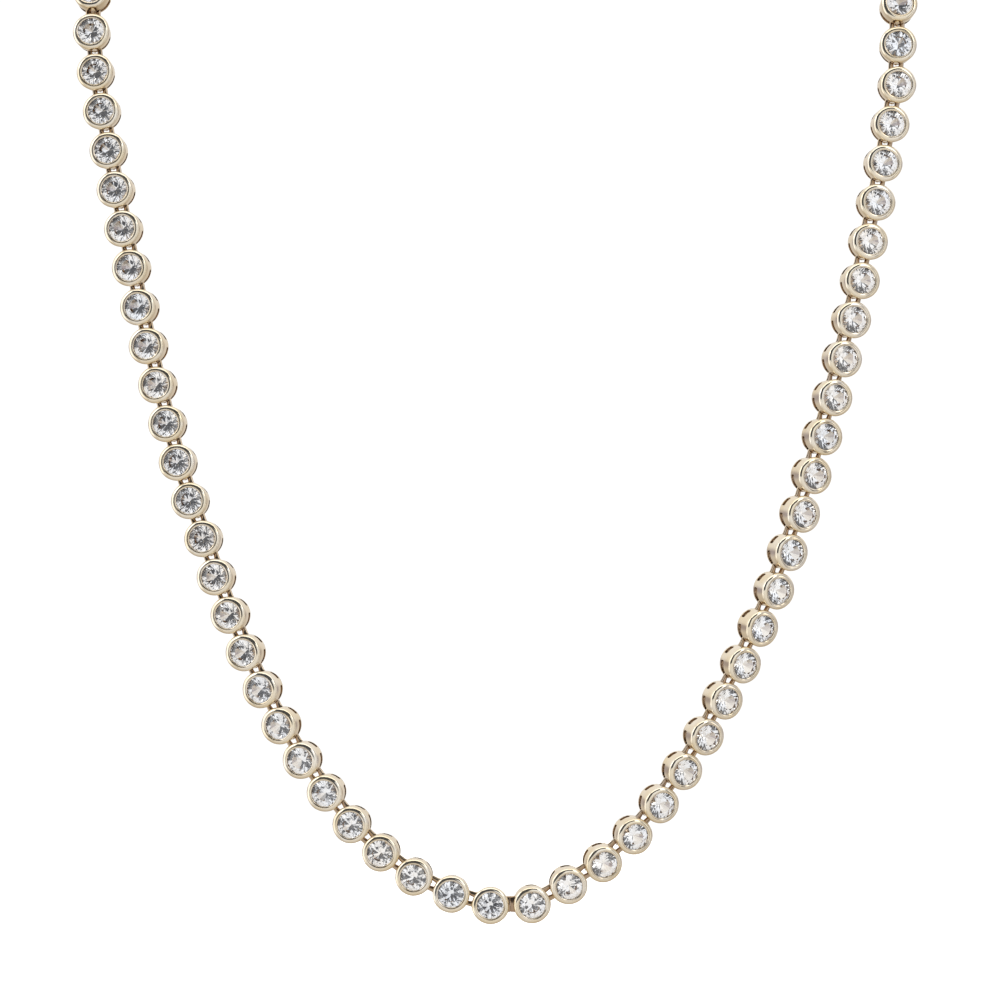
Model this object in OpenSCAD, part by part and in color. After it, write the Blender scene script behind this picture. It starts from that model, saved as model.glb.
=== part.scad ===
// Riviere necklace: one row of round stones in rubbed-over collets, hung as it is worn.
// Z is up and the stones at the bottom of the loop face -Y. The origin is the middle of
// the back of the loop, at the nape of the neck, where the necklace hangs.

/* [Loop] */
// Collets on the half towards +X, from the centre round to the clasp
right_count = 44; // [42:1:44]
// Collets on the half towards -X, from the centre round to the clasp
left_count = 45; // [43:1:45]
// Distance from each collet to the next, along the row
pitch = 5.05; // [5:0.01:5.06]
// Radius of the hanging curve at its lowest point
bottom_radius = 20; // [19.8:0.1:20.5]
// How far the row hangs below the collar
front_drop = 107; // [106:0.5:108]
// How far the front leans forward on the chest, in degrees
lean = 5; // [0:1:8]
// How far the nape lies behind the collar
nape_depth = 63; // [62:0.5:65]
// How far the nape lies above the collar
nape_rise = 33; // [32:0.5:35]
// How far along the row the first collet towards +X sits from the lowest point
first_place = 4.3; // [4:0.1:5]

/* [Collet] */
// Outer diameter at the lip
collet_d = 4.64; // [4.6:0.01:4.68]
// Outer diameter at the back
back_d = 4.36; // [4.3:0.01:4.4]
// Height from the back to the top of the lip
collet_h = 2.86; // [2.82:0.01:2.9]
// Radius of the shoulder that rounds the wall over into the lip
lip_r = 0.52; // [0.5:0.01:0.54]
// Wall thickness of the open gallery
wall = 0.5; // [0.45:0.01:0.52]
// Height of the back ring
ring_h = 0.28; // [0.26:0.01:0.3]
// Height of the windows in the gallery
window_h = 0.72; // [0.7:0.01:0.76]

/* [Link] */
// Width of each arm of the link loop
arm_w = 0.56; // [0.55:0.01:0.57]
// Thickness of the link loop
arm_t = 0.34; // [0.3:0.01:0.36]
// Clear width inside the loop
loop_gap = 0.8; // [0.79:0.01:0.84]
// Radius of the shoulder that flares from the arm into the collet
flare_r = 0.8; // [0.6:0.05:0.9]
// Diameter of the post that the next loop hooks round
post_d = 0.46; // [0.42:0.01:0.48]

/* [Stone] */
// Diameter of each stone
stone_d = 3.5; // [3.46:0.01:3.52]
// Width of the table, as a share of the stone's diameter
table_share = 0.57; // [0.53:0.01:0.6]
// Height of the crown, as a share of the stone's diameter
crown_share = 0.145; // [0.13:0.005:0.15]
// Depth of the pavilion, as a share of the stone's diameter
pavilion_share = 0.43; // [0.41:0.005:0.44]

/* [Clasp] */
// Width of the clasp across the row
clasp_w = 4.2; // [4:0.1:4.4]
// Thickness of the clasp
clasp_t = 2.4; // [2.2:0.1:2.6]
// Radius of the clasp's rounded corners
clasp_corner_r = 0.9; // [0.6:0.1:1.2]

/* [Hidden] */
$fn = 48;

gold = "#e2cda4";
stone_white = "#eef3f7";

collet_r = collet_d / 2;
back_r = back_d / 2;
bore_r = back_r - wall;
post_r = post_d / 2;
post_place = back_r - wall / 2;
window_top = ring_h + window_h;
link_z = ring_h + window_h / 2;
lip_centre = [collet_r - lip_r, collet_h - lip_r];
stone_r = stone_d / 2;
clearance = 0.12;
girdle_t = 0.1;
girdle_z = collet_h - 0.46;
arm_r = loop_gap / 2 + arm_w;
overlap = 0.15;
edge_step = 0.05;
spin_step = 137.5;

// Small steps of the collet's section.
back_edge = 0.08;
throat_step = 0.18;
throat_rise = 0.3;
throat_base = 0.1;
cup_below = 1.3 * clearance;
cup_above = 1.2 * clearance;
cup_slope = 0.66;
mouth_r = [1.65, 1.69];
mouth_drop = 0.4;

// How far inside the wall's face a link's shoulders run out.
flare_sink = 0.08;

// The gallery is cut away beside the post and left as a pillar at each side of the collet.
hook_window = 74;
side_window = [46, 80];

// How the hanging row departs from a catenary: place along the row, distance outwards.
SWAY = [
    [-122, 0.05], [-112, 0.05], [-102, -0.1], [-92, -0.15], [-80, -0.2], [-70, -0.2], [-62, -0.55],
    [-50, -0.62], [-36, -0.72], [-26, -0.85], [-14, -0.45], [-5, 0.2], [2, 1.3], [4.5, 1.1],
    [9, 0.25], [15, -0.1], [27, -0.7], [42, -0.8], [55, -0.2], [80, 0.05], [95, 0.3], [115, 0.5],
    [122, 0.6],
];

// How far the collets turn away from the middle of the loop: place along the row, degrees.
TURN = [
    [-122, 5], [-112, 6], [-102, 10], [-92, 12], [-82, 12], [-70, 7], [-63, 7], [-54, 13],
    [-46, 16], [-34, 18], [-24, 12], [-12, 8], [-5, 2], [-1, 0], [5, 8], [15, 17], [36, 28],
    [52, 30], [66, 26], [85, 19], [102, 13], [114, 9], [122, 8],
];

// Which way the collets face behind the collar: share of the way to the nape, then the
// outward, backward and upward parts of the direction.
BACK_FACE = [
    [0, 0.05, -1, 0.1], [0.25, 0.3, -0.75, 0.6], [0.55, 0.5, 0, 0.85], [0.8, 0.35, 0.45, 0.8],
    [1, 0, 0.7, 0.7],
];

function unit(v) = v / norm(v);
function square_to(v, axis) = unit(v - (v * axis) * axis);
function arsinh(x) = ln(x + sqrt(x * x + 1));
function column(table, c) = [for (row = table) [row[0], row[c]]];

// The front hangs as a catenary in a plane that leans forward.
front_arc = sqrt(pow(bottom_radius + front_drop, 2) - pow(bottom_radius, 2));
function front_point(s) =
    let (
        h = norm([bottom_radius, s]),
        out = abs(s) < front_arc ? lookup(s, SWAY) * min(1, (front_arc - abs(s)) / pitch) : 0,
        x = bottom_radius * arsinh(s / bottom_radius) + out * s / h,
        below = front_drop - (h - bottom_radius) + out * bottom_radius / h
    )
    [x, -nape_depth - below * sin(lean), -nape_rise - below * cos(lean)];

// Behind the collar each side is one cubic curve, which ends level at the nape.
collar = front_point(front_arc);
collar_way = unit(collar - front_point(front_arc - 0.01));
collar_handle = 36;
nape_handle = 38;
BACK = [collar, collar + collar_handle * collar_way, [nape_handle, 0, 0], [0, 0, 0]];
function back_curve(t) =
    let (u = 1 - t)
    u * u * u * BACK[0] + 3 * u * u * t * BACK[1] + 3 * u * t * t * BACK[2] + t * t * t * BACK[3];

// Arc length along the back curve, summed over short steps.
BACK_STEPS = 80;
function sums(v, i = 0, total = 0) =
    i == len(v) ? [total] : concat([total], sums(v, i + 1, total + v[i]));
step_lengths = [
    for (i = [0 : BACK_STEPS - 1]) norm(back_curve((i + 1) / BACK_STEPS) - back_curve(i / BACK_STEPS))
];
back_sums = sums(step_lengths);
back_table = [for (i = [0 : BACK_STEPS]) [back_sums[i], i / BACK_STEPS]];
back_arc = back_sums[BACK_STEPS];
half_loop = front_arc + back_arc;

// A point of the row at a place s, counted both ways from the lowest point of the loop.
function side_of(s) = s < 0 ? -1 : 1;
function wrapped(s) = s > half_loop ? s - 2 * half_loop : s < -half_loop ? s + 2 * half_loop : s;
function row_point(place) =
    let (s = wrapped(place), b = back_curve(lookup(abs(s) - front_arc, back_table)))
    abs(s) <= front_arc ? front_point(s) : [side_of(s) * b[0], b[1], b[2]];
function row_way(s) = unit(row_point(s + pitch / 2) - row_point(s - pitch / 2));

function row_face(place) =
    let (
        s = wrapped(place),
        way = row_way(s),
        forward = square_to([0, -1, 0], way),
        turn = lookup(s, TURN),
        share = (abs(s) - front_arc) / back_arc,
        back = [side_of(s) * lookup(share, column(BACK_FACE, 1)),
            lookup(share, column(BACK_FACE, 2)), lookup(share, column(BACK_FACE, 3))]
    )
    abs(s) <= front_arc
        ? cos(turn) * forward + sin(turn) * cross(way, forward)
        : square_to(back, way);

// A seat is a place with its three directions: along the row, across it, and facing.
function seat(point, way, face) = [point, way, cross(face, way), face];
function row_seat(s) = seat(row_point(s), row_way(s), row_face(s));

// Each collet hangs one pitch, measured straight, from the last.
function next_place(s, step) =
    s + step * pitch / norm(row_point(s + step) - row_point(s));
function places(s, step, count) =
    count == 0 ? [] : concat([s], places(next_place(s, step), step, count - 1));
right_seats = [for (s = places(first_place, pitch, right_count)) row_seat(s)];
left_seats = [
    for (s = places(next_place(first_place, -pitch), -pitch, left_count)) row_seat(s)
];
right_end = right_seats[right_count - 1][0];
left_end = left_seats[left_count - 1][0];

// The clasp fills the gap at the nape. Each end stands one pitch from the last collet, as
// another collet would.
clasp_way = unit(left_end - right_end);
clasp_face = square_to(row_face(half_loop), clasp_way);
clasp_reach = norm(left_end - right_end) / 2 - pitch;
clasp_seat = seat((right_end + left_end) / 2, clasp_way, clasp_face);
clasp_right = seat(clasp_seat[0] - clasp_reach * clasp_way, clasp_way, clasp_face);
clasp_left = seat(clasp_seat[0] + clasp_reach * clasp_way, clasp_way, clasp_face);

// The half rows run from the centre to the clasp, so each loop hooks the next piece.
right_row = concat([left_seats[0]], right_seats, [clasp_right]);
left_row = concat([right_seats[0]], left_seats, [clasp_left]);

module on(seat) {
    multmatrix([
        [seat[1][0], seat[2][0], seat[3][0], seat[0][0]],
        [seat[1][1], seat[2][1], seat[3][1], seat[0][1]],
        [seat[1][2], seat[2][2], seat[3][2], seat[0][2]],
    ]) translate([0, 0, -link_z]) children();
}

// The angle, in a seat's own plane, of the direction towards another point.
function bearing(seat, point) =
    let (d = point - seat[0])
    atan2(d * seat[2], d * seat[1]);

// A link leaves one collet's wall and hooks the next one's post, so it is aimed from the one
// to the other, with a face between both faces.
function edge_point(own, other, r) = own[0] + r * square_to(other[0] - own[0], own[3]);
function link_root(own, next) = edge_point(own, next, back_r);
function link_hook(own, next) = edge_point(next, own, post_place);
function link_reach(own, next) = back_r + norm(link_hook(own, next) - link_root(own, next));
function link_seat(own, next) =
    let (root = link_root(own, next), way = unit(link_hook(own, next) - root))
    seat(root - back_r * way, way, square_to(own[3] + next[3], way));

module collet_section() {
    seat_z = girdle_z - girdle_t / 2;
    cavity_r = stone_r + clearance;
    throat_r = bore_r - throat_step;
    difference() {
        union() {
            polygon([
                [bore_r, 0], [back_r - back_edge, 0], [back_r, back_edge],
                [collet_r, lip_centre[1]], [lip_centre[0], lip_centre[1] + lip_r / 2],
                [throat_r, lip_centre[1] - throat_base], [throat_r, window_top + throat_rise],
                [bore_r, window_top + throat_base],
            ]);
            translate(lip_centre) circle(r = lip_r);
        }
        polygon([
            [0, collet_h - mouth_drop], [mouth_r[0], collet_h - mouth_drop],
            [mouth_r[1], collet_h + edge_step], [0, collet_h + edge_step],
        ]);
        polygon([
            [0, seat_z - pavilion_share * stone_d - cup_below], [cavity_r, seat_z - cup_below],
            [cavity_r, girdle_z + girdle_t / 2 + clearance],
            [0, girdle_z + girdle_t / 2 + cup_above + cavity_r * cup_slope],
        ]);
    }
}

module gallery_window(from_angle, to_angle) {
    rotate([0, 0, from_angle])
        rotate_extrude(angle = to_angle - from_angle)
            translate([bore_r - wall, ring_h]) square([3 * wall, window_h]);
}

// One collet: its wall, gallery windows and the posts that loops of other collets hook.
module collet(loop_angle, post_angle, has_post) {
    difference() {
        rotate_extrude() collet_section();
        for (side = [-1, 1])
            rotate([0, 0, loop_angle])
                mirror([0, side < 0 ? 1 : 0, 0])
                    gallery_window(side_window[0], side_window[1]);
        if (has_post) gallery_window(post_angle - hook_window, post_angle + hook_window);
    }
    if (has_post)
        rotate([0, 0, post_angle])
            translate([post_place, 0, ring_h - overlap])
                cylinder(r = post_r, h = window_h + 2 * overlap);
}

// The outline of a bar that leaves a collet's wall, with a flared shoulder at each side.
module flared_bar(half_w, reach) {
    flare_y = half_w + flare_r;
    root_r = back_r - flare_sink;
    flare_x = sqrt(pow(root_r + flare_r, 2) - pow(flare_y, 2));
    touch = root_r / (root_r + flare_r);
    difference() {
        union() {
            translate([0, -half_w]) square([reach, 2 * half_w]);
            polygon([
                [0, 0], [flare_x * touch, flare_y * touch], [flare_x, flare_y],
                [flare_x, -flare_y], [flare_x * touch, -flare_y * touch],
            ]);
        }
        for (side = [-1, 1])
            translate([flare_x, side * flare_y]) circle(r = flare_r);
        circle(r = back_r - wall / 2 - edge_step);
    }
}

// One link loop: two arms that flare out of the collet's wall and join round the post.
module link_loop(loop_x) {
    slot_x = back_r + edge_step;
    translate([0, 0, link_z - arm_t / 2])
        linear_extrude(height = arm_t)
            difference() {
                union() {
                    translate([loop_x, 0]) circle(r = arm_r);
                    flared_bar(arm_r, loop_x);
                }
                translate([loop_x, 0]) circle(r = loop_gap / 2);
                translate([slot_x, -loop_gap / 2]) square([loop_x - slot_x, loop_gap]);
            }
}

// The two middle collets carry a tab each, which meet over the loop between them.
tab_half_w = 0.95;
tab_t = 0.5;
module centre_tab(own, next) {
    translate([0, 0, window_top])
        linear_extrude(height = tab_t)
            intersection() {
                flared_bar(tab_half_w, norm(next[0] - own[0]));
                square([norm(next[0] - own[0]) - 2 * clearance, 2 * collet_r], center = true);
            }
}

// Piece k of a half row: row[k] is its inner neighbour and row[k + 2] its outer one. The
// first piece has a tab, and on one half it has a second loop in place of its post.
module collet_link(row, k, centre_post) {
    inner = row[k];
    own = row[k + 1];
    outer = row[k + 2];
    has_post = k > 0 || centre_post;
    on(own)
        collet(bearing(own, outer[0]), bearing(own, inner[0]), has_post);
    on(link_seat(own, outer)) link_loop(link_reach(own, outer));
    if (!has_post) on(link_seat(own, inner)) link_loop(link_reach(own, inner));
    if (k == 0) on(link_seat(own, inner)) centre_tab(own, inner);
}

module collets_right() {
    color(gold) for (k = [0 : right_count - 1]) collet_link(right_row, k, false);
}

module collets_left() {
    color(gold) for (k = [0 : left_count - 1]) collet_link(left_row, k, true);
}

// A round brilliant of 57 facets: an eight-sided table, stars, kites and girdle facets
// above, and eight mains with their girdle facets below.
function ring_points(r, z, count, from) =
    [for (i = [0 : count - 1]) [r * cos(from + i * 360 / count), r * sin(from + i * 360 / count), z]];

star_share = 0.8;
lower_share = 0.28;
module brilliant() {
    half_step = 360 / 16;
    table_r = table_share * stone_r;
    table_z = girdle_t / 2 + crown_share * stone_d;
    crown_z = girdle_t / 2;
    culet_z = -girdle_t / 2 - pavilion_share * stone_d;
    star_r = stone_r * star_share;
    star_z = table_z
        - (table_z - crown_z) * (star_r * cos(half_step) - table_r) / (stone_r - table_r);
    lower_r = stone_r * lower_share;
    lower_z = culet_z + (-crown_z - culet_z) * lower_r * cos(half_step) / stone_r;
    points = concat(
        ring_points(table_r, table_z, 8, 0), ring_points(star_r, star_z, 8, half_step),
        ring_points(stone_r, crown_z, 16, 0), ring_points(stone_r, -crown_z, 16, 0),
        ring_points(lower_r, lower_z, 8, half_step), [[0, 0, culet_z]]
    );
    function table_at(k) = k % 8;
    function star_at(k) = 8 + k % 8;
    function top_at(k) = 16 + k % 16;
    function low_at(k) = 32 + k % 16;
    function lower_at(k) = 48 + k % 8;
    culet = 56;
    faces = concat(
        [[for (k = [7 : -1 : 0]) table_at(k)]],
        [for (k = [0 : 7]) each [
            [table_at(k), table_at(k + 1), star_at(k)],
            [table_at(k), star_at(k), top_at(2 * k), star_at(k + 7)],
            [star_at(k), top_at(2 * k + 1), top_at(2 * k)],
            [star_at(k), top_at(2 * k + 2), top_at(2 * k + 1)],
            [lower_at(k), low_at(2 * k), low_at(2 * k + 1)],
            [lower_at(k), low_at(2 * k + 1), low_at(2 * k + 2)],
            [culet, lower_at(k + 7), low_at(2 * k), lower_at(k)],
        ]],
        [for (k = [0 : 15]) [top_at(k), top_at(k + 1), low_at(k + 1), low_at(k)]]
    );
    polyhedron(points = points, faces = faces);
}

// Each stone is set at its own angle about its axis, as a setter drops it in.
module stones(seats, first) {
    color(stone_white)
        for (k = [0 : len(seats) - 1])
            on(seats[k])
                translate([0, 0, girdle_z])
                    rotate([0, 0, (first + k) * spin_step]) brilliant();
}

module stones_right() stones(right_seats, 0);
module stones_left() stones(left_seats, right_count);

// One plain box with a pocket and a post at each end for the last two loops.
pocket_room = 0.25;
module clasp() {
    half_l = clasp_reach + back_r;
    pocket_in = clasp_reach + post_place - arm_r - pocket_room;
    pocket_w = 2 * (arm_r + pocket_room);
    pocket_h = window_h + 2 * pocket_room;
    pocket_z = link_z - pocket_h / 2;
    color(gold) on(clasp_seat) {
        difference() {
            translate([0, 0, link_z - clasp_t / 2])
                linear_extrude(height = clasp_t) {
                    square([2 * half_l, clasp_w - 2 * clasp_corner_r], center = true);
                    square([2 * (half_l - clasp_corner_r), clasp_w], center = true);
                    for (x = [-1, 1], y = [-1, 1])
                        translate([x * (half_l - clasp_corner_r), y * (clasp_w / 2 - clasp_corner_r)])
                            circle(r = clasp_corner_r);
                }
            for (x = [-1, 1])
                translate([x * (pocket_in + half_l) / 2, 0, link_z])
                    cube([half_l - pocket_in + overlap, pocket_w, pocket_h], center = true);
        }
        for (x = [-1, 1])
            translate([x * (clasp_reach + post_place), 0, pocket_z - overlap])
                cylinder(r = post_r, h = pocket_h + 2 * overlap);
    }
}

collets_left();
collets_right();
stones_left();
stones_right();
clasp();
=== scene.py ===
"""Riviere necklace in a plain white studio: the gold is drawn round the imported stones."""

import math
import random

import bmesh
import bpy
import numpy as np
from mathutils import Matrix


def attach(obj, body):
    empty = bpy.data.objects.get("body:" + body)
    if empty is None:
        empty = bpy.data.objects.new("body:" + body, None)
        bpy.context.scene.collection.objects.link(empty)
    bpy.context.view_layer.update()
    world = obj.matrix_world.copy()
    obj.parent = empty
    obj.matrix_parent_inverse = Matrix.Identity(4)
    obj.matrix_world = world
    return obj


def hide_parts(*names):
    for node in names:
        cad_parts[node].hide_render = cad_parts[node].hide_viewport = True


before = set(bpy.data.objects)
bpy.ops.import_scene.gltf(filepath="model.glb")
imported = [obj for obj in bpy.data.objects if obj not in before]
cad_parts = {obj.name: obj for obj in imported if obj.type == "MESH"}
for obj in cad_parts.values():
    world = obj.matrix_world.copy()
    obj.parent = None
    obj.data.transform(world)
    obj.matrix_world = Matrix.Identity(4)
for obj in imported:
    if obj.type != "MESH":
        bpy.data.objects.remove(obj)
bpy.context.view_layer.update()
scene = bpy.context.scene

MM = 0.001

# Sizes of the solids in the part's source, in millimetres, with heights above a collet's back.
# HOOK_WINDOW is a window's half width and SIDE_WINDOW another's edges, in degrees round a collet.
PITCH = 5.05
COLLET_R = 2.32
BACK_R = 2.18
BORE_R = 1.68
THROAT_R = 1.5
TAPER_Z = 0.08
RING_H = 0.28
WINDOW_TOP = 1.06
LINK_Z = 0.64
LIP_R = 0.52
LIP_RISE = 0.42
LIP_Z = 2.44
GIRDLE_Z = 2.40
GIRDLE_T = 0.1
PAVILION = 1.505
POST_PLACE = 1.93
POST_R = 0.23
ARM_IN = 0.4
ARM_OUT = 0.96
ARM_T = 0.34
FLARE_R = 0.8
ROOT_R = 2.10
TAB_HALF_W = 0.95
TAB_T = 0.5
HOOK_WINDOW = 74
SIDE_WINDOW = (46, 80)

# The way that the clasp faces, and how near to each other two of a stone's corners are one.
CLASP_FACE = (0, 0.7, 0.7)
SAME_CORNER = 0.002

# Fine finish that the solids leave out, in millimetres.
LIP_SWAY = 0.028
SWAY_R = 1.65
WINDOW_CORNER_R = 0.2
EDGE_ROUND = 0.025
TWIN_GAP = 0.0002
TAB_GAP = 0.03
TAB_END = 0.05
SOLDER_R = 0.24
SOLDER_REACH = 0.5
INNER_ROOT = 1.9
INNER_FLARE = 2.06
FOOT_DEPTH = 0.1
FOOT_H = 0.06

# A tab's rounded upper edge, as millimetres in from its side and down from its top.
TAB_EDGE = ((0, 0.1), (0.09, 0.03), (0.2, 0))

# Shares: of the lip's sway that goes up and down, of a bar's root inside the wall, of a window's
# rounded corner at each cut, of the post's radius at its feet, and how square a bar's edges are.
LIP_DIP = 0.5
ROOT_SHARE = 0.9
CORNER_CUTS = (0, 0.12, 0.4, 1)
FOOT_FLARE = (1.45, 1.3)
BAR_ROUND = 0.6

# Painted shade that each of these gets, from 0 to 1, as if it lay that deep in a hollow, which
# darkens its gold.
LINK_SHADE = 0.45
TAB_SHADE = 0.8
WINDOW_SHADE = 0.7
POST_SHADE = 0.5

# Degrees between the steps round a collet, over its lip up to the lip's end, and between the
# faces of a sharp edge.
STATION_STEP = 9
LIP_STEP = 12
LIP_END = 85
SHARP_ANGLE = 42

# Counts of the steps of the other curves.
BAR_SIDES = 12
FLARE_STEPS = 6
TURN_STEPS = 12
POST_SIDES = 14

# Lens in millimetres, places in metres.
LENS = 201
CAMERA_AT = (0.00062, -0.768, -0.0901)
FLOOR_R = 3
FLOOR_Z = -0.32

GOLD_TONES = ((0.79, 0.685, 0.50), (0.82, 0.725, 0.555))
GOLD_CLOUD = (0.85, 0.795, 0.70)
# Dark brown of the painted shade in the hollows, and the most of it that a face gets.
GOLD_PAINTED_SHADE = (0.23, 0.105, 0.028)
PAINTED_SHADE_MOST = 0.94
STONE_TINTS = ((0.93, 0.96, 1.0), (1.0, 0.975, 0.94))
STONE_IOR = 1.77

# The studio's light from the front and from behind, then the white that the camera sees.
LIGHT_BELOW = ((0.86, 0.83, 0.79), (0.46, 0.38, 0.29))
LIGHT_ABOVE = ((1.08, 1.12, 1.19), (0.99, 0.94, 0.87))
BACKDROP = (1.05, 1.05, 1.05)

random.seed(7)


def unit(v):
    return v / np.linalg.norm(v)


def square_to(v, axis):
    return unit(v - np.dot(v, axis) * axis)


class Seat:
    """A point of the row at the height of the links, and the way its collet faces."""

    def __init__(self, point, face):
        self.point = point
        self.face = face


def stone_islands(bm):
    """Each stone's corners in a mesh of several stones."""
    left = dict.fromkeys(bm.verts)
    while left:
        front = [left.popitem()[0]]
        island = list(front)
        while front:
            for edge in front.pop().link_edges:
                for vert in edge.verts:
                    if vert in left:
                        del left[vert]
                        front.append(vert)
                        island.append(vert)
        yield np.array([vert.co / MM for vert in island])


def read_seats(node):
    """Seats of a node's stones. A stone's axis runs from its culet through its middle."""
    bm = bmesh.new()
    bm.from_mesh(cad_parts[node].data)
    bmesh.ops.remove_doubles(bm, verts=bm.verts, dist=SAME_CORNER * MM)
    seats = []
    for corners in stone_islands(bm):
        middle = corners.mean(0)
        thin = np.linalg.svd(corners - middle)[2][2]
        culet = corners[np.argmax(np.abs((corners - middle) @ thin))]
        face = unit(middle - culet)
        below = GIRDLE_Z - GIRDLE_T / 2 - PAVILION - LINK_Z
        seats.append(Seat(culet - below * face, face))
    bm.free()
    return seats


def in_order(seats):
    """The seats of one half row, walked from the lowest to the clasp."""
    left = sorted(seats, key=lambda seat: seat.point[2])
    row = [left.pop(0)]
    while left:
        left.sort(key=lambda seat: np.linalg.norm(seat.point - row[-1].point))
        row.append(left.pop(0))
    return row


def edge_point(own, other, radius):
    """The point at a radius from a seat's axis, on the side of another seat."""
    return own.point + radius * square_to(other.point - own.point, own.face)


def placing(origin, way, face):
    """Rotation columns and origin of a local frame: along, across, facing."""
    return np.column_stack([way, np.cross(face, way), face]), origin


def link_placing(own, following):
    """Frame of the link from a collet's wall to the next post, and how far the link reaches."""
    root = edge_point(own, following, BACK_R)
    hook = edge_point(following, own, POST_PLACE)
    way = unit(hook - root)
    reach = BACK_R + np.linalg.norm(hook - root)
    face = square_to(own.face + following.face, way)
    return placing(root - BACK_R * way, way, face), reach


class Shape:
    """Points and faces of one piece, gathered in millimetres and made into a mesh once.

    Each face keeps its painted shade, from 0 to 1, as deep as it lies in a hollow, and its
    collet's own tone.
    """

    def __init__(self):
        self.points = []
        self.faces = []
        self.painted_shade = []
        self.own = []

    def add(self, points, faces, place, painted_shade, own):
        turn, origin = place
        start = len(self.points)
        self.points.extend((np.asarray(points) @ turn.T + origin) * MM)
        self.faces.extend([[start + i for i in face] for face in faces])
        self.painted_shade.extend(painted_shade)
        self.own.extend([own] * len(faces))

    def make(self, name):
        mesh = bpy.data.meshes.new(name)
        mesh.from_pydata([tuple(p) for p in self.points], [], self.faces)
        for key, values in (("painted_shade", self.painted_shade), ("own", self.own)):
            layer = mesh.attributes.new(key, "FLOAT", "FACE")
            layer.data.foreach_set("value", np.array(values, np.float32))
        mesh.validate()
        made = bpy.data.objects.new(name, mesh)
        scene.collection.objects.link(made)
        return made


def loft(rings):
    """Points and faces of a closed tube through rings of equal count."""
    count = len(rings[0])
    points = [p for ring in rings for p in ring]
    faces = []
    for i in range(len(rings) - 1):
        for j in range(count):
            k = (j + 1) % count
            faces.append([i * count + j, i * count + k, (i + 1) * count + k, (i + 1) * count + j])
    faces.append(list(range(count))[::-1])
    last = (len(rings) - 1) * count
    faces.append([last + j for j in range(count)])
    return points, faces


def wall_r(z):
    """Outer radius of the tapering wall at a height."""
    return BACK_R + (COLLET_R - BACK_R) * max(0, z - TAPER_Z) / (LIP_Z - TAPER_Z)


# The collet's section as (radius, height, painted shade), from the back's inner edge outwards, up
# the wall, over the lip, down to the stone and through the bore, with painted shade in the hollows
# by the stone and in the bore. The four window corners are named.
OUT_LOW, OUT_HIGH, IN_HIGH, IN_LOW = "out_low", "out_high", "in_high", "in_low"


def collet_section():
    """The section's points, and the places of its four window corners among them."""
    lip_x = COLLET_R - LIP_R
    section = [
        (1.73, 0.0, 0.2), (2.12, 0.0, 0), (2.16, 0.018, 0), (2.18, 0.06, 0),
        (wall_r(RING_H), RING_H, 0), (wall_r(WINDOW_TOP), WINDOW_TOP, 0),
        (wall_r(1.75), 1.75, 0),
    ]
    for angle in range(0, LIP_END, LIP_STEP):
        a = math.radians(angle)
        section.append((lip_x + LIP_R * math.cos(a), LIP_Z + LIP_RISE * math.sin(a), 0))
    section += [
        (1.825, 2.858, 0), (1.805, 2.835, 0.6), (1.79, 2.838, 0), (1.745, 2.832, 0),
        (1.69, 2.81, 0), (1.655, 2.78, 0), (1.638, 2.73, 0), (1.632, 2.60, 0.2),
        (1.79, 2.52, 1), (1.79, 2.32, 1),
        (THROAT_R, 2.09, 0.6), (THROAT_R, 1.30, 0.6), (BORE_R, 1.12, 0.75),
        (BORE_R, WINDOW_TOP, 0.75), (BORE_R, RING_H, 0.75), (BORE_R, 0.05, 0.6),
    ]
    corners = {OUT_LOW: 4, OUT_HIGH: 5, IN_HIGH: len(section) - 3, IN_LOW: len(section) - 2}
    return section, corners


SECTION, CORNERS = collet_section()


def collet_angles(windows):
    """Angles round a collet, with each window's edges and its rounded corners among them."""
    corner = math.degrees(WINDOW_CORNER_R / BACK_R)
    special = set()
    for low, high in windows:
        for cut in CORNER_CUTS:
            special.update((round(low + cut * corner, 4), round(high - cut * corner, 4)))
    plain = [
        a for a in range(0, 360, STATION_STEP)
        if all(abs(a - s) > STATION_STEP / 3 for s in special)
    ]
    return sorted(special | set(plain))


def window_inset(angle, windows):
    """How much the rounded corners narrow a window at an angle, above and below."""
    for low, high in windows:
        if low - 1e-6 <= angle <= high + 1e-6:
            edge = math.radians(min(angle - low, high - angle)) * BACK_R
            short = max(0, WINDOW_CORNER_R - edge)
            return WINDOW_CORNER_R - math.sqrt(WINDOW_CORNER_R**2 - short**2)
    return 0


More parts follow.
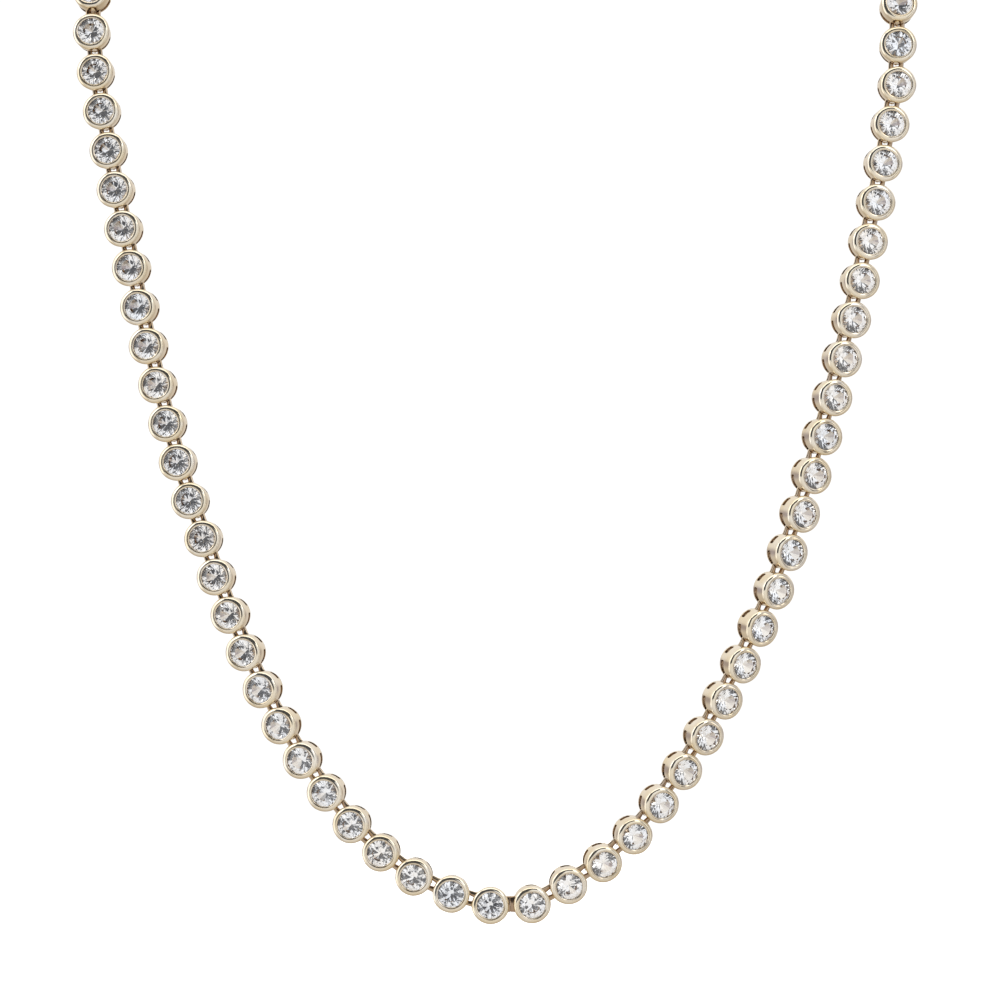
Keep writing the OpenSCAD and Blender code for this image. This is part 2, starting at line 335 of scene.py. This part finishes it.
def collet_wall(windows):
    """One collet's wall: the section turned about its axis, open at the gallery windows."""
    angles = collet_angles(windows)
    waves = [(k, random.uniform(0, 2 * math.pi), random.uniform(0.3, 1) / k) for k in range(2, 8)]
    points, painted_shade, faces = [], [], []
    size = len(SECTION)
    for angle in angles:
        a = math.radians(angle)
        inset = window_inset(angle, windows)
        sway = LIP_SWAY * sum(share * math.cos(k * a + phase) for k, phase, share in waves)
        for i, (r, z, _) in enumerate(SECTION):
            if i in (CORNERS[OUT_LOW], CORNERS[IN_LOW]):
                z += inset
            if i in (CORNERS[OUT_HIGH], CORNERS[IN_HIGH]):
                z -= inset
            if i in (CORNERS[OUT_LOW], CORNERS[OUT_HIGH]):
                r = wall_r(z)
            lift = min(1, max(0, (z - WINDOW_TOP) / (LIP_Z - WINDOW_TOP)))
            r += sway * lift * (r > SWAY_R)
            z += LIP_DIP * sway * lift * math.cos(3 * a)
            points.append((r * math.cos(a), r * math.sin(a), z - LINK_Z))
    count = len(angles)
    for j in range(count):
        k = (j + 1) % count
        middle = (angles[j] + (angles[k] if k else 360 + angles[0])) / 2
        open_here = any(low < middle < high for low, high in windows)
        for i in range(size):
            n = (i + 1) % size
            if open_here and i in (CORNERS[OUT_LOW], CORNERS[IN_HIGH]):
                continue
            faces.append([j * size + i, k * size + i, k * size + n, j * size + n])
            # Each face takes the greater painted shade of its two section points.
            painted_shade.append(max(SECTION[i][2], SECTION[n][2]))
        if open_here:
            # Painted shade on the window's sills, and below on its ends.
            for one, two in ((OUT_LOW, IN_LOW), (IN_HIGH, OUT_HIGH)):
                one, two = CORNERS[one], CORNERS[two]
                faces.append([j * size + one, k * size + one, k * size + two, j * size + two])
                painted_shade.append(WINDOW_SHADE)
    for low, high in windows:
        for edge, order in ((low, 1), (high, -1)):
            j = angles.index(round(edge, 4))
            side = [j * size + CORNERS[c] for c in (OUT_LOW, OUT_HIGH, IN_HIGH, IN_LOW)]
            faces.append(side[::order])
            painted_shade.append(WINDOW_SHADE)
    return points, faces, painted_shade


def rounded_bar(inner, outer):
    """One cross-section of a flat bar with rounded edges, from an inner to an outer point."""
    inner, outer = np.array([*inner, 0.0]), np.array([*outer, 0.0])
    middle, half = (inner + outer) / 2, (outer - inner) / 2
    ring = []
    for k in range(BAR_SIDES):
        a = 2 * math.pi * (k + 0.5) / BAR_SIDES
        c, s = math.cos(a), math.sin(a)
        along = math.copysign(abs(c) ** BAR_ROUND, c)
        up = math.copysign(abs(s) ** BAR_ROUND, s)
        ring.append(middle + half * along + np.array([0, 0, ARM_T / 2 * up]))
    return ring


def flared_side(half_w, reach):
    """Points along one side of a bar, from a collet's wall over its flare to its end."""
    flare_y = half_w + FLARE_R
    flare_x = math.sqrt((ROOT_R + FLARE_R) ** 2 - flare_y**2)
    touch = ROOT_R / (ROOT_R + FLARE_R)
    start = math.atan2(flare_y * touch - flare_y, flare_x * touch - flare_x) % (2 * math.pi)
    side = [(ROOT_SHARE * flare_x * touch, ROOT_SHARE * flare_y * touch)]
    for k in range(FLARE_STEPS + 1):
        a = start + (1.5 * math.pi - start) * k / FLARE_STEPS
        side.append((flare_x + FLARE_R * math.cos(a), flare_y + FLARE_R * math.sin(a)))
    return side + [(reach, half_w)]


def link_sections(reach):
    """Inner and outer edges of a link, from one root round its end to the other."""
    side = flared_side(ARM_OUT, reach)
    inner_x = [INNER_ROOT, *np.linspace(INNER_FLARE, side[-2][0], len(side) - 2), reach]
    arm = []
    for x, outer in zip(inner_x, side):
        solder = SOLDER_R * min(1, max(0, 1 - (x - BACK_R) / SOLDER_REACH)) ** 2
        arm.append(((x, ARM_IN - solder), outer))
    turn = []
    for k in range(1, TURN_STEPS):
        a = math.pi / 2 - math.pi * k / TURN_STEPS
        way = (math.cos(a), math.sin(a))
        turn.append(tuple((reach + r * way[0], r * way[1]) for r in (ARM_IN, ARM_OUT)))
    other = [tuple((x, -y) for x, y in pair) for pair in arm[::-1]]
    return arm + turn + other


def centre_tab(gap):
    """The flared tab of a middle collet, as a loft from its root to its end."""
    tip_x = gap / 2 - TAB_GAP / 2
    side = [(x, y) for x, y in flared_side(TAB_HALF_W, tip_x) if x < tip_x - TAB_END]
    side += [(tip_x - TAB_END, TAB_HALF_W), (tip_x, TAB_HALF_W - TAB_END)]
    low, high = WINDOW_TOP - LINK_Z, WINDOW_TOP + TAB_T - LINK_Z
    rings = []
    for x, y in side:
        near = [(x, inwards - y, high - down) for inwards, down in TAB_EDGE]
        far = [(x, y - inwards, high - down) for inwards, down in TAB_EDGE[::-1]]
        rings.append([(x, -y, low), *near, *far, (x, y, low)])
    return loft(rings)


def post(low, high):
    """A post with a soldered foot at each end, round the local axis."""
    deep, wide = FOOT_FLARE
    steps = [
        (low - FOOT_DEPTH, deep), (low, wide), (low + FOOT_H, 1),
        (high - FOOT_H, 1), (high, wide), (high + FOOT_DEPTH, deep),
    ]
    turn = [2 * math.pi * k / POST_SIDES for k in range(POST_SIDES)]
    rings = []
    for z, r in steps:
        rings.append([(POST_R * r * math.cos(a), POST_R * r * math.sin(a), z) for a in turn])
    return loft(rings)


def add_loft(shape, made, place, depth, own):
    """Adds a loft with the same painted shade all over, as if it lay equally deep in a hollow."""
    points, faces = made
    shape.add(points, faces, place, [depth] * len(faces), own)


def add_collet(shape, row, k, centre_post):
    """Collet k of a half row: its wall, its post, its link towards the clasp, its centre tab.

    Every collet has a post that its inner neighbour's link hooks. Only the first of the half
    row without a centre post has none, and it has a second link, to the other half's post.
    """
    inner, own, outer = row[k], row[k + 1], row[k + 2]
    way = square_to(outer.point - own.point, own.face)
    place = placing(own.point, way, own.face)
    back = inner.point - own.point
    post_angle = math.degrees(math.atan2(back @ place[0][:, 1], back @ way)) % 360
    windows = [SIDE_WINDOW, (360 - SIDE_WINDOW[1], 360 - SIDE_WINDOW[0])]
    has_post = k > 0 or centre_post
    if has_post:
        windows.append((round(post_angle - HOOK_WINDOW, 4), round(post_angle + HOOK_WINDOW, 4)))
    tone = random.random()
    points, faces, painted_shade = collet_wall(windows)
    shape.add(points, faces, place, painted_shade, tone)
    if has_post:
        a = math.radians(post_angle)
        turn, origin = place
        foot = origin + POST_PLACE * (math.cos(a) * turn[:, 0] + math.sin(a) * turn[:, 1])
        made = post(RING_H - LINK_Z, WINDOW_TOP - LINK_Z)
        add_loft(shape, made, (turn, foot), POST_SHADE, tone)
    for following in [outer] if has_post else [outer, inner]:
        link_place, reach = link_placing(own, following)
        sections = link_sections(reach)
        points, faces = loft([rounded_bar(*pair) for pair in sections])
        # Painted shade on each link: darkest along its inner side, lighter towards its outer
        # edges.
        painted_shade = []
        for face in faces:
            y = abs(np.mean([points[i][1] for i in face]))
            outwards = min(1, max(0, (y - ARM_IN) / (ARM_OUT - ARM_IN)))
            painted_shade.append(1 - (1 - LINK_SHADE) * outwards)
        shape.add(points, faces, link_place, painted_shade, tone)
    if k == 0:
        tab_place, _ = link_placing(own, inner)
        tab = centre_tab(np.linalg.norm(inner.point - own.point))
        add_loft(shape, tab, tab_place, TAB_SHADE, tone)


def join_twins(piece):
    """Joins points that lie on one another, which leaves the skin closed with no folded faces."""
    weld = piece.modifiers.new("twins", "WELD")
    weld.merge_threshold = TWIN_GAP * MM


def finish_gold(piece):
    """Points every face outwards, smooths the curves, rounds the sharp edges and adds the gold."""
    bm = bmesh.new()
    bm.from_mesh(piece.data)
    bmesh.ops.recalc_face_normals(bm, faces=bm.faces)
    bm.to_mesh(piece.data)
    bm.free()
    piece.data.shade_smooth()
    bevel = piece.modifiers.new("edges", "BEVEL")
    bevel.width = EDGE_ROUND * MM
    bevel.segments = 2
    bevel.limit_method = "ANGLE"
    bevel.angle_limit = math.radians(SHARP_ANGLE)
    bevel.harden_normals = True
    join_twins(piece)
    piece.data.materials.append(gold)
    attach(piece, "root")


class Nodes:
    """Adds and joins shader nodes of one tree."""

    def __init__(self, tree):
        self.tree = tree

    def add(self, kind, **values):
        node = self.tree.nodes.new(kind)
        for key, value in values.items():
            setattr(node, key, value)
        return node

    def put(self, source, target):
        self.tree.links.new(source, target)

    def noise(self, place, scale, detail=3.0):
        node = self.add("ShaderNodeTexNoise")
        node.inputs["Scale"].default_value = scale
        node.inputs["Detail"].default_value = detail
        node.inputs["Roughness"].default_value = 0.55
        self.put(place, node.inputs["Vector"])
        return node.outputs["Fac"]

    def math(self, operation, one, two=None):
        node = self.add("ShaderNodeMath", operation=operation)
        for value, socket in ((one, node.inputs[0]), (two, node.inputs[1])):
            if isinstance(value, (int, float)):
                socket.default_value = value
            elif value is not None:
                self.put(value, socket)
        return node.outputs[0]

    def dot(self, source, axis):
        node = self.add("ShaderNodeVectorMath", operation="DOT_PRODUCT")
        self.put(source, node.inputs[0])
        node.inputs[1].default_value = axis
        return node.outputs["Value"]

    def between(self, source, low, high, to_low=0.0, to_high=1.0, smooth=False):
        node = self.add("ShaderNodeMapRange")
        node.interpolation_type = "SMOOTHSTEP" if smooth else "LINEAR"
        for name, value in (("From Min", low), ("From Max", high), ("To Min", to_low),
                            ("To Max", to_high)):
            node.inputs[name].default_value = value
        self.put(source, node.inputs["Value"])
        return node.outputs["Result"]

    def mix(self, share, one, two):
        node = self.add("ShaderNodeMix", data_type="RGBA")
        self.put(share, node.inputs["Factor"])
        for value, socket in ((one, node.inputs["A"]), (two, node.inputs["B"])):
            if isinstance(value, tuple):
                socket.default_value = (*value, 1)
            else:
                self.put(value, socket)
        return node.outputs["Result"]


def new_material(name):
    material = bpy.data.materials.new(name)
    material.use_nodes = True
    nodes = Nodes(material.node_tree)
    shader = material.node_tree.nodes["Principled BSDF"]
    return material, nodes, shader


def gold_material():
    """Worn pale gold: painted shade darkens it in the hollows, with cloudy patches, uneven polish
    and fine pits.
    """
    material, nodes, shader = new_material("pale_gold")
    place = nodes.add("ShaderNodeTexCoord").outputs["Object"]
    painted_shade = nodes.add("ShaderNodeAttribute", attribute_name="painted_shade").outputs["Fac"]
    own = nodes.add("ShaderNodeAttribute", attribute_name="own").outputs["Fac"]
    cloud = nodes.noise(place, 420)
    tone = nodes.mix(own, *GOLD_TONES)
    cloudy = nodes.mix(nodes.between(cloud, 0.4, 0.7), tone, GOLD_CLOUD)
    # Painted shade: each face's gold is mixed towards dark brown by its painted shade.
    painted_shade_share = nodes.between(painted_shade, 0, 1, 0, PAINTED_SHADE_MOST)
    nodes.put(nodes.mix(painted_shade_share, cloudy, GOLD_PAINTED_SHADE), shader.inputs["Base Color"])
    shader.inputs["Metallic"].default_value = 1
    rubbed = nodes.noise(place, 1500, 4)
    nodes.put(nodes.between(rubbed, 0.3, 0.75, 0.05, 0.16), shader.inputs["Roughness"])
    bump = nodes.add("ShaderNodeBump")
    bump.inputs["Strength"].default_value = 0.05
    bump.inputs["Distance"].default_value = 0.02 * MM
    nodes.put(nodes.noise(place, 3500, 4), bump.inputs["Height"])
    nodes.put(bump.outputs["Normal"], shader.inputs["Normal"])
    return material


def stone_material():
    """Clear cut stone with a faint tint that changes along the row."""
    material, nodes, shader = new_material("clear_stone")
    place = nodes.add("ShaderNodeTexCoord").outputs["Object"]
    tint = nodes.noise(place, 130, 1)
    colour = nodes.mix(nodes.between(tint, 0.35, 0.65), *STONE_TINTS)
    nodes.put(colour, shader.inputs["Base Color"])
    shader.inputs["Roughness"].default_value = 0
    shader.inputs["IOR"].default_value = STONE_IOR
    shader.inputs["Transmission Weight"].default_value = 1
    return material


def panel(nodes, way, azimuth, height, half_w, half_h, soft):
    """How far each direction lies inside a soft-edged panel. Azimuth 0 is the front, 90 is +X."""
    a, h = math.radians(azimuth), math.radians(height)
    out = (math.sin(a) * math.cos(h), -math.cos(a) * math.cos(h), math.sin(h))
    across = (math.cos(a), math.sin(a), 0)
    up = (-math.sin(a) * math.sin(h), math.cos(a) * math.sin(h), math.cos(h))
    inside = nodes.between(nodes.dot(way, out), 0, 0.1)
    for axis, edge in ((across, half_w), (up, half_h)):
        off = nodes.math("ABSOLUTE", nodes.dot(way, axis))
        part = nodes.between(off, edge - soft, edge + soft, 1, 0, True)
        inside = nodes.math("MULTIPLY", inside, part)
    return inside


# Panels of the studio, each painted over those before it: azimuth and height in degrees, half
# width and half height as shares of the distance, softness of the edge, colour.
PANELS = [
    (-80, 0, 0.50, 0.50, 0.15, (1.42, 1.42, 1.42)),
    (75, 5, 0.45, 0.60, 0.20, (0.62, 0.61, 0.63)),
    (-125, 0, 0.35, 0.16, 0.12, (0.44, 0.39, 0.40)),
    (125, 0, 0.35, 0.16, 0.12, (0.44, 0.39, 0.40)),
    (0, 68, 0.50, 0.22, 0.06, (1.85, 1.78, 1.62)),
    (-66, 34, 0.16, 0.22, 0.05, (2.8, 2.7, 2.5)),
    (42, 34, 0.12, 0.22, 0.05, (2.8, 2.7, 2.5)),
    (-49, -8, 0.045, 0.42, 0.03, (0.20, 0.19, 0.17)),
    (50, -8, 0.045, 0.42, 0.03, (0.20, 0.19, 0.17)),
    (62, -4, 0.05, 0.42, 0.03, (1.70, 1.64, 1.50)),
    (-20, 20, 0.40, 0.46, 0.05, (0.085, 0.090, 0.100)),
    (10, 40, 0.33, 0.25, 0.05, (0.066, 0.070, 0.078)),
]


def studio_world():
    """Soft light all round with the panels painted over it, and a white backdrop."""
    world = bpy.data.worlds.new("studio")
    scene.world = world
    world.use_nodes = True
    nodes = Nodes(world.node_tree)
    background = world.node_tree.nodes["Background"]
    way = nodes.add("ShaderNodeTexCoord").outputs["Generated"]
    height = nodes.dot(way, (0, 0, 1))
    depth = nodes.dot(way, (0, 1, 0))
    low = nodes.mix(nodes.between(depth, -0.8, 0.8), *LIGHT_BELOW)
    high = nodes.mix(nodes.between(depth, -0.8, 0.8), *LIGHT_ABOVE)
    colour = nodes.mix(nodes.between(height, -0.7, 0.5), low, high)
    for azimuth, up, half_w, half_h, soft, shade in PANELS:
        inside = panel(nodes, way, azimuth, up, half_w, half_h, soft)
        colour = nodes.mix(inside, colour, shade)
    camera_ray = nodes.add("ShaderNodeLightPath").outputs["Is Camera Ray"]
    nodes.put(nodes.mix(camera_ray, colour, BACKDROP), background.inputs["Color"])


def add_floor():
    """A pale floor well below the part, which its gold and stones don't mirror."""
    bpy.ops.mesh.primitive_circle_add(vertices=96, radius=FLOOR_R, fill_type="NGON")
    floor = bpy.context.object
    floor.name = "floor"
    floor.location.z = FLOOR_Z
    material, _, shader = new_material("pale_floor")
    shader.inputs["Base Color"].default_value = (0.95, 0.95, 0.95, 1)
    shader.inputs["Roughness"].default_value = 0.7
    shader.inputs["Emission Color"].default_value = (1, 1, 1, 1)
    shader.inputs["Emission Strength"].default_value = 0.45
    floor.data.materials.append(material)
    floor.visible_glossy = False
    floor.visible_transmission = False


def add_camera():
    data = bpy.data.cameras.new("camera")
    data.sensor_width = 36
    data.lens = LENS
    data.clip_start = 0.05
    data.clip_end = 20
    camera = bpy.data.objects.new("camera", data)
    camera.location = CAMERA_AT
    camera.rotation_euler = (math.radians(90), 0, 0)
    scene.collection.objects.link(camera)
    scene.camera = camera


add_camera()
studio_world()
add_floor()

gold = gold_material()
clear = stone_material()

right_seats = in_order(read_seats("stones_right"))
left_seats = in_order(read_seats("stones_left"))
right_end, left_end = right_seats[-1].point, left_seats[-1].point
clasp_way = unit(left_end - right_end)
clasp_face = square_to(np.array(CLASP_FACE), clasp_way)
clasp_reach = np.linalg.norm(left_end - right_end) / 2 - PITCH
clasp_middle = (right_end + left_end) / 2
clasp_right = Seat(clasp_middle - clasp_reach * clasp_way, clasp_face)
clasp_left = Seat(clasp_middle + clasp_reach * clasp_way, clasp_face)

ROWS = {
    "right": ([left_seats[0], *right_seats, clasp_right], False),
    "left": ([right_seats[0], *left_seats, clasp_left], True),
}

for half, (row, centre_post) in ROWS.items():
    count = len(row) - 2
    split = (count + 1) // 2
    for part, span in (("front", range(split)), ("back", range(split, count))):
        shape = Shape()
        for k in span:
            add_collet(shape, row, k, centre_post)
        piece = shape.make(f"collets_{half}_{part}")
        finish_gold(piece)
        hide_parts(f"collets_{half}")

for node in ("stones_left", "stones_right"):
    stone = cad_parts[node]
    stone.data.materials.clear()
    stone.data.materials.append(clear)

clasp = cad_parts["clasp"]
clasp.data.materials.clear()
clasp.data.materials.append(gold)
join_twins(clasp)

scene.view_settings.view_transform = "Standard"
scene.cycles.max_bounces = 24
scene.cycles.transmission_bounces = 20
scene.cycles.glossy_bounces = 8
scene.cycles.use_denoising = True
